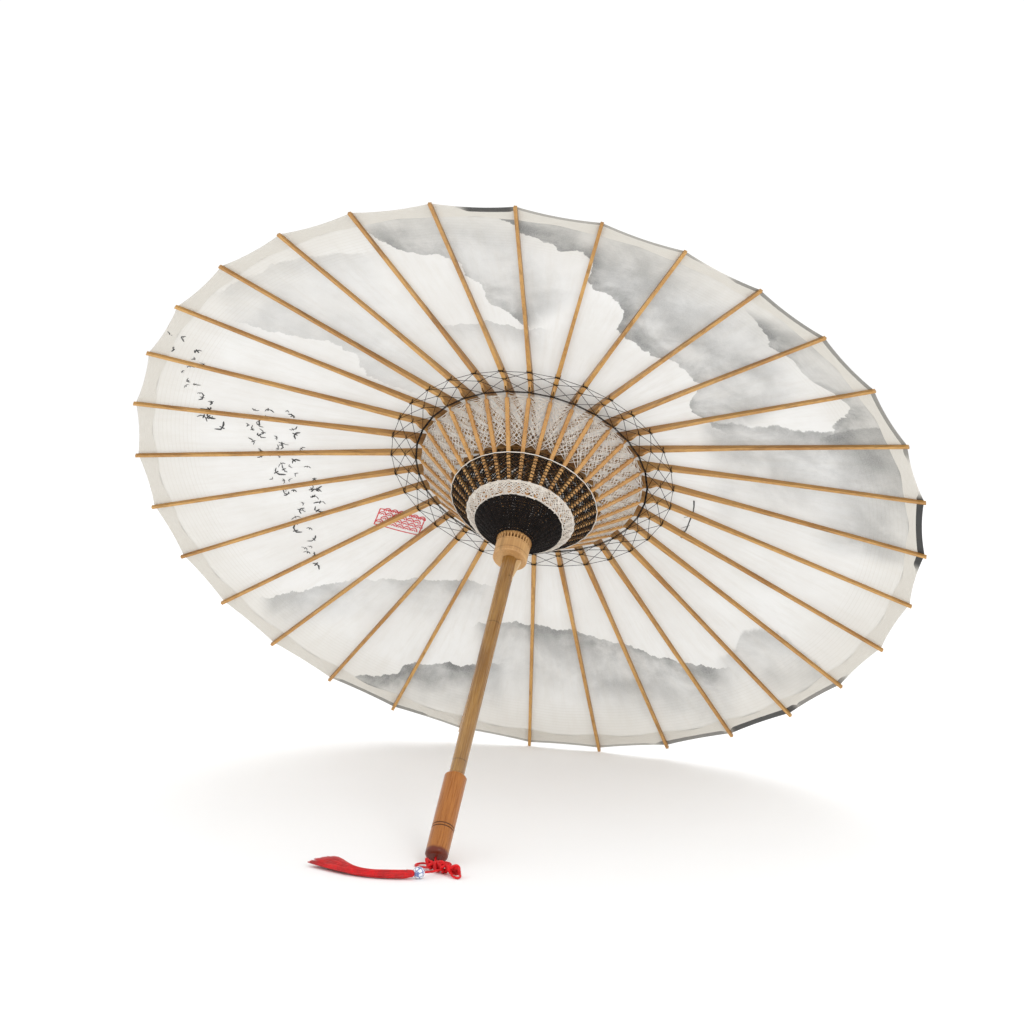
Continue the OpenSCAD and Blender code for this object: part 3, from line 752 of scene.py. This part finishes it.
def soft_box(half_w, half_d, edge):
    """Outline of a bar with eased edges."""
    e = min(edge, half_w * 0.6)
    return ((half_w, half_d - e), (half_w - e, half_d), (-half_w + e, half_d), (-half_w, half_d - e),
            (-half_w, -half_d + e), (-half_w + e, -half_d), (half_w - e, -half_d), (half_w, -half_d + e))


for i in range(1, RIBS + 1):
    out = polar(i, 1, 0)
    ahead = Vector((out.x, out.y, RISE)).normalized()
    side = Vector((-out.y, out.x, 0))
    normal = side.cross(ahead) * -1
    foot = polar(i, FOOT_R, FOOT_Z)
    dice = random.Random(100 + i)
    bow = dice.uniform(-0.25, 0.25)
    rings = []
    for s, half_w, half_d in BAR_SHAPE:
        drift = side * bow * math.sin(math.pi * min(max(s / BAR_LENGTH, 0), 1))
        start = foot + ahead * s + drift
        rings.append([start + side * a + normal * b for a, b in soft_box(half_w, half_d, 0.45)])
    shape = Shape()
    shape.loft(rings)
    bar = shape.piece(f"stretcher_{i:02d}", [BAMBOO_BAR], smooth=False)
    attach(bar, "runner")
    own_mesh(bar)
    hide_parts("stretchers")


# ---------------------------------------------------------------- thread nets between the stretchers
def on_bar(i, r, below):
    """Point on stretcher i at a radius, a distance below its middle line."""
    return polar(i, r, bar_z(r) - below)


def lattice(shape, i, dice, low, high, step, spread, below, radius, slack):
    """Crossed threads from stretcher i to the next one, between two radii."""
    r = low
    while r < high:
        far = min(r + spread, high)
        near_low, near_high = r + dice.uniform(-slack, slack), far + dice.uniform(-slack, slack)
        for a, b in ((near_low, near_high), (near_high, near_low)):
            shape.tube([on_bar(i, a, below), on_bar(i + 1, b, below)], radius, 4)
        r += step


def hoop(shape, i, dice, r, below, radius, sag, wobble):
    """Thread straight across from stretcher i to the next one."""
    a = r + dice.uniform(-wobble, wobble)
    b = r + dice.uniform(-wobble, wobble)
    middle = on_bar(i, a, below).lerp(on_bar(i + 1, b, below), 0.5) - Vector((0, 0, sag))
    shape.tube([on_bar(i, a, below), middle, on_bar(i + 1, b, below)], radius, 5)


# Lattices from the runner outwards: inner and outer radius, distance from one thread to the next, how
# far each climbs, depth below the stretchers' middle, thread radius and unevenness, in millimetres
BLACK_LACES = ((19.5, 46.0, 1.9, 4.0, 4.0, 0.38, 0.5), (19.5, 46.0, 1.6, 7.0, 2.6, 0.42, 0.5),
               (46.0, 77.2, 2.1, 4.6, -0.6, 0.36, 0.4), (46.0, 77.2, 3.4, 8.0, -2.4, 0.34, 0.4),
               (50.0, 77.2, 2.5, 6.0, 3.3, 0.34, 0.4))
BAND_LACES = ((46.4, 56.8, 2.2, 4.6, 3.8, 0.5, 0.6), (46.4, 56.8, 3.0, 8.5, 4.8, 0.46, 0.8))
WHITE_LACES = ((78.6, 118.0, 3.5, 8.5, -0.3, 0.34, 0.6), (78.6, 118.5, 5.0, 18.0, 0.6, 0.34, 0.9),
               (79.0, 118.5, 6.4, 31.0, -1.0, 0.34, 1.2))
# Black hoops from the runner out: how many, radius of the first, and from one to the next
BLACK_HOOPS, HOOPS_FROM, HOOP_STEP = 24, 19.5, 1.15
BAND_HOOPS, WHITE_HOOP = (46.3, 47.0, 56.0, 56.8), 77.7

for i in range(1, RIBS + 1):
    dice = random.Random(300 + i)
    black, cream = Shape(), Shape()
    for k in range(BLACK_HOOPS):
        hoop(black, i, dice, HOOPS_FROM + k * HOOP_STEP, 3.6 + 0.7 * (k % 2), 0.6, 0.15, 0.3)
    for lace in BLACK_LACES:
        lattice(black, i, dice, *lace)
    for lace in BAND_LACES:
        lattice(cream, i, dice, *lace)
    for r in BAND_HOOPS:
        hoop(cream, i, dice, r, 4.2, 0.5, 0.1, 0.15)
    hoop(cream, i, dice, WHITE_HOOP, 3.7, 0.55, 0.0, 0.05)
    for lace in WHITE_LACES:
        lattice(cream, i, dice, *lace)
    for made, name, material, nodes in ((black, "black", BLACK, ("black_net", "dark_net")),
                                        (cream, "white", CREAM, ("white_band", "white_net"))):
        net = made.piece(f"{name}_net_{i:02d}", [material])
        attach(net, "runner")
        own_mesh(net)
        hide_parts(*nodes)

# ---------------------------------------------------------------- ring and outer net on the ribs
MIDDLE_R, MIDDLE_Z, OUTER_Z = 137.0, 49.6, 46.9
# Strands of the ring, as offsets in radius and height, and both ends of each of the net's threads
RING_STRANDS = ((0.0, 0.3), (0.7, -0.3), (-0.6, -0.3))
OUTER, MIDDLE, RING = (OUTER_R, OUTER_Z), (MIDDLE_R, MIDDLE_Z), (RING_R, RING_Z)
NET_THREADS = ((OUTER, OUTER), (OUTER, MIDDLE), (MIDDLE, OUTER), (MIDDLE, RING), (RING, MIDDLE))

for i in range(1, RIBS + 1):
    shape = Shape()
    for way in (-1, 1):
        for dr, dz in RING_STRANDS:
            here = polar(i, RING_R + dr, RING_Z + dz)
            shape.tube([here, here.lerp(polar(i + way, RING_R + dr, RING_Z + dz), 0.5)], 0.38, 6)
        for near, far in NET_THREADS:
            here = polar(i, *near)
            shape.tube([here, here.lerp(polar(i + way, *far), 0.5)], 0.3, 5)
    out = polar(i, 1, 0)
    side = Vector((-out.y, out.x, 0))
    for r, z, deep in ((OUTER_R, OUTER_Z, 4.2), (OUTER_R + 0.8, OUTER_Z, 4.0), (MIDDLE_R, MIDDLE_Z, 3.4)):
        base = polar(i, r, z)
        lifts = ((2.6, deep), (2.6, 0.0), (-2.6, 0.0), (-2.6, deep))
        shape.tube([base + side * a + Vector((0, 0, b)) for a, b in lifts], 0.26, 5)
    knob = polar(i, OUTER_R, OUTER_Z - 0.3)
    shape.tube([knob + side * a for a in (-0.9, -0.4, 0.4, 0.9)], [0.15, 0.55, 0.55, 0.15], 6)
    net = shape.piece(f"outer_net_{i:02d}", [BLACK])
    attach(net, RIB_NAMES[i - 1])
    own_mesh(net)
    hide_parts("outer_net", "joint_ring", "joint_thread")

# ---------------------------------------------------------------- paper, one gore on each rib
# Paper's height over the ribs and radius in the hub, how far its edge is drawn in between two ribs,
# and its sag there, which is full from a radius on
PAPER_LIFT, HUB_R = 0.55, 14.2
SCALLOP, SAG, SAG_R = 2.4, 1.1, 250
GORE_ROWS, GORE_COLUMNS = 64, 14


def scallop(t):
    """Radius of the paper's edge: full at a rib and drawn in between two ribs."""
    return RIM_R - SCALLOP * (1 - abs(1 - abs(t)) ** 2)


def paper_point(i, t, r, lift=0.0):
    """Point of the paper near rib i; t is -1 and 1 halfway to its neighbours."""
    way = 1 if t >= 0 else -1
    share = abs(t) / 2
    flat = polar(i, r, rib_top(r)).lerp(polar(i + way, r, rib_top(r)), share)
    sag = SAG * (1 - (1 - abs(t)) ** 2) * min(1.0, r / SAG_R)
    return flat + Vector((0, 0, PAPER_LIFT + lift - sag))


def gore_t(column):
    """Place across a gore, from -1 to 1, of one of its columns of points."""
    return -1 + 2 * column / GORE_COLUMNS


# Four loose flocks of small birds: the line each follows in the canopy's plane, its width and its number
FLOCKS = (((-330, -226), (-328, -70), 16, 20), ((-272, -100), (-256, 40), 26, 40),
          ((-262, 20), (-252, 80), 22, 14), ((-262, 88), (-252, 150), 16, 8))
# Thin twig: its points with the half width of its stroke, and its side shoots
TWIG = ((171, 31, 0.9), (170.5, 40, 0.7), (169, 49, 0.55), (166, 58, 0.8), (163, 67, 0.5),
        (160.5, 75, 0.7), (157, 83, 0.5), (153, 91, 1.1))
SHOOTS = (((167, 56), (158, 60)), ((164, 70), (154, 77)), ((160, 79), (149, 84)))
IN_INK, IN_RED = 0, 1
STAMP_AT, STAMP_TURN, STAMP_SIZE = Vector((-158, 93)), math.radians(24), (25.0, 12.5)


def brush(width, line):
    """Flat tapered strip along a line in the canopy's plane, as rows of two points."""
    rows = []
    for k, p in enumerate(line):
        ahead = (Vector(line[min(k + 1, len(line) - 1)]) - Vector(line[max(k - 1, 0)])).normalized()
        side = Vector((-ahead.y, ahead.x))
        if hasattr(width, "__len__"):
            w = width[k]
        else:
            w = width * math.sin(math.pi * (k + 0.6) / (len(line) + 0.2))
        rows.append((Vector(p) + side * w, Vector(p) - side * w))
    return rows


def gore_of(p):
    """The rib whose gore holds a point of the canopy's plane."""
    turn = (math.atan2(p[1], p[0]) - azimuth(1)) / PITCH
    return int(round(turn)) % RIBS + 1


def on_paper(i, p, lift):
    """Puts a point of the canopy's plane on the gore of rib i."""
    r = math.hypot(p[0], p[1])
    off = (math.atan2(p[1], p[0]) - azimuth(i) + math.pi) % (2 * math.pi) - math.pi
    t = off / (PITCH / 2)
    return Vector((p[0], p[1], paper_point(i, t, r / math.cos(off), lift).z))


marks = {i: [] for i in range(1, RIBS + 1)}
dice = random.Random(7)
birds = []
for start, stop, spread, count in FLOCKS:
    for k in range(count):
        spot = Vector(start).lerp(Vector(stop), (k + dice.uniform(0, 0.9)) / count)
        birds.append(spot + Vector((dice.uniform(-spread, spread), dice.uniform(-4, 4))))
for spot in birds:
    home, size = gore_of(spot), dice.choice((6, 8, 9, 11, 14))
    t = math.radians(dice.choice((-20, 60, 130, 165, 190, 230)) + dice.uniform(-25, 25))
    u, v = Vector((math.cos(t), math.sin(t))), Vector((-math.sin(t), math.cos(t)))
    for wing in (-1, 1):
        tip = spot + u * size * 0.32 * dice.uniform(0.2, 1.6) + v * wing * size * dice.uniform(0.25, 0.7)
        bend = spot.lerp(tip, 0.5) - u * size * dice.uniform(0.04, 0.22)
        line = [spot, spot.lerp(bend, 0.6), bend, bend.lerp(tip, 0.6), tip]
        marks[home].append((brush(size * dice.uniform(0.045, 0.09), line), IN_INK))
    body = [spot - u * size * 0.2, spot, spot + u * size * 0.24]
    marks[home].append((brush(size * 0.07, body), IN_INK))
for (ax, ay, a_width), (bx, by, b_width) in zip(TWIG, TWIG[1:]):
    a, b = Vector((ax, ay)), Vector((bx, by))
    line, widths = [a, a.lerp(b, 0.5), b], [a_width, (a_width + b_width) / 2, b_width]
    marks[gore_of(line[1])].append((brush(widths, line), IN_INK))
for start, stop in SHOOTS:
    a, b = Vector(start), Vector(stop)
    marks[gore_of(a)].append((brush(0.3, [a, a.lerp(b, 0.5), b]), IN_INK))

# Abstract red mark: a border filled with rows of plain arcs, like fish scales
ALONG = Vector((math.cos(STAMP_TURN), math.sin(STAMP_TURN)))
BESIDE = Vector((-math.sin(STAMP_TURN), math.cos(STAMP_TURN)))
STEPS = range(17)


def stamp_point(x, y):
    """Point of the canopy's plane from the mark's own square of -1 to 1."""
    return STAMP_AT + ALONG * STAMP_SIZE[0] * x + BESIDE * STAMP_SIZE[1] * y


def stamp_arc(cx, cy, wide, high, start, stop):
    """Arc round a point of the mark's square."""
    angles = [math.radians(start + (stop - start) * k / 16) for k in STEPS]
    return [stamp_point(cx + wide * math.cos(a), cy + high * math.sin(a)) for a in angles]


lines = []
for row in range(4):
    for column in range(6):
        cx, cy = -0.82 + 0.31 * column + 0.155 * (row % 2), 0.72 - 0.5 * row
        lines.append(stamp_arc(cx, cy, 0.15, 0.42, 185, 355))
        lines.append(stamp_arc(cx, cy, 0.07, 0.2, 190, 350))
lines += [[stamp_point(-1 + k / 8, y) for k in STEPS] for y in (-1.0, 1.0)]
lines += [[stamp_point(x, -1 + k / 8) for k in STEPS] for x in (-1.0, 1.0)]
for line in lines:
    for a, b, c in zip(line[::2], line[1::2], line[2::2]):
        marks[gore_of(b)].append((brush([0.6, 0.7, 0.6], [a, b, c]), IN_RED))

for i in range(1, RIBS + 1):
    name, body = f"{i:02d}", RIB_NAMES[i - 1]
    rows, places = [], []
    for k in range(GORE_ROWS + 1):
        row, place = [], []
        for c in range(GORE_COLUMNS + 1):
            t = gore_t(c)
            r = HUB_R + (scallop(t) - HUB_R) * k / GORE_ROWS
            p = paper_point(i, t, r)
            row.append(p)
            place.append((p.x * MM, p.y * MM))
        rows.append(row)
        places.append(place)
    shape = Shape()
    shape.grid(rows, places=places)
    gore = shape.piece("paper_" + name, [PAPER])

    rows, places = [], []
    start = azimuth(i) / (2 * math.pi)
    for c in range(GORE_COLUMNS + 1):
        t = gore_t(c)
        edge = scallop(t)
        inside = ((HEM_R - 2 * math.cos(t * 3), -0.22), ((HEM_R + edge) / 2, -0.22), (edge - 3.4, -0.22),
                  (edge - 3.2, -0.22), (edge - 0.2, -0.24))
        outside = ((edge + 0.35, 0.0), (edge - 0.2, 0.26), (edge - 7, 0.24), (HEM_R + 1, 0.22))
        rows.append([paper_point(i, t, r, lift) for r, lift in inside + outside])
        turn = (start + t * PITCH / (4 * math.pi)) % 1.0
        places.append([(turn, (r - HEM_R) / (edge - HEM_R)) for r, _ in inside]
                      + [(turn, 2 - (r - HEM_R) / (edge - HEM_R)) for r, _ in outside])
    shape = Shape()
    shape.grid(rows, places=places)
    hem = shape.piece("hem_" + name, [HEM])
    on_it = [hem]
    if marks[i]:
        shape = Shape()
        for lift in (-0.28, 0.28):
            for strip, slot in marks[i]:
                shape.grid([[on_paper(i, p, lift) for p in row] for row in strip], slot)
        drawn = shape.piece("strokes_" + name, [INK, STAMP])
        on_it.append(drawn)
    for piece, slot in zip([gore, *on_it], ("oiled_paper", "band_paper", "oiled_paper")):
        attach(piece, body)
        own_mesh(piece)
    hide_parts("canopy")
    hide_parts("rim_band")

# ---------------------------------------------------------------- floor, light and view
FLOOR_R, SKY = 14.0, 1.06
n = Nodes("studio_floor")
speck = n.noise(n.row_place(), 3.0, 3.0)
floor_paint = n.end(n.shade(n.mix(n.span(speck, 0.3, 0.7), (0.965, 0.965, 0.965), (0.98, 0.98, 0.98)), 0.9))
shape = Shape()
outline = [(FLOOR_R * math.cos(a), FLOOR_R * math.sin(a), 0.0) for a in turns(96)]
shape.add(outline, [list(range(len(outline)))])
floor = shape.piece("floor", [floor_paint], Matrix.Identity(4))

world = bpy.data.worlds.new("studio")
world.use_nodes = True
background = world.node_tree.nodes["Background"]
background.inputs["Color"].default_value = (1.0, 1.0, 1.0, 1)
background.inputs["Strength"].default_value = SKY
bpy.context.scene.world = world
bpy.context.scene.view_settings.view_transform = "Standard"
bpy.context.scene.view_settings.look = "None"


def softbox(name, place, target, size, power):
    """Square light of a size in metres and a power in watts, turned to a target."""
    light = bpy.data.lights.new(name, "AREA")
    light.shape, light.size, light.size_y = "RECTANGLE", size, size
    light.energy = power
    made = bpy.data.objects.new(name, light)
    made.location = place
    made.rotation_euler = (Vector(target) - Vector(place)).to_track_quat("-Z", "Y").to_euler()
    bpy.context.collection.objects.link(made)


softbox("key", (1.6, -2.0, 2.0), (0, 0.05, 0.3), 1.0, 16)
softbox("back", (-0.6, 2.4, 2.6), (0, 0, 0.4), 2.4, 22)
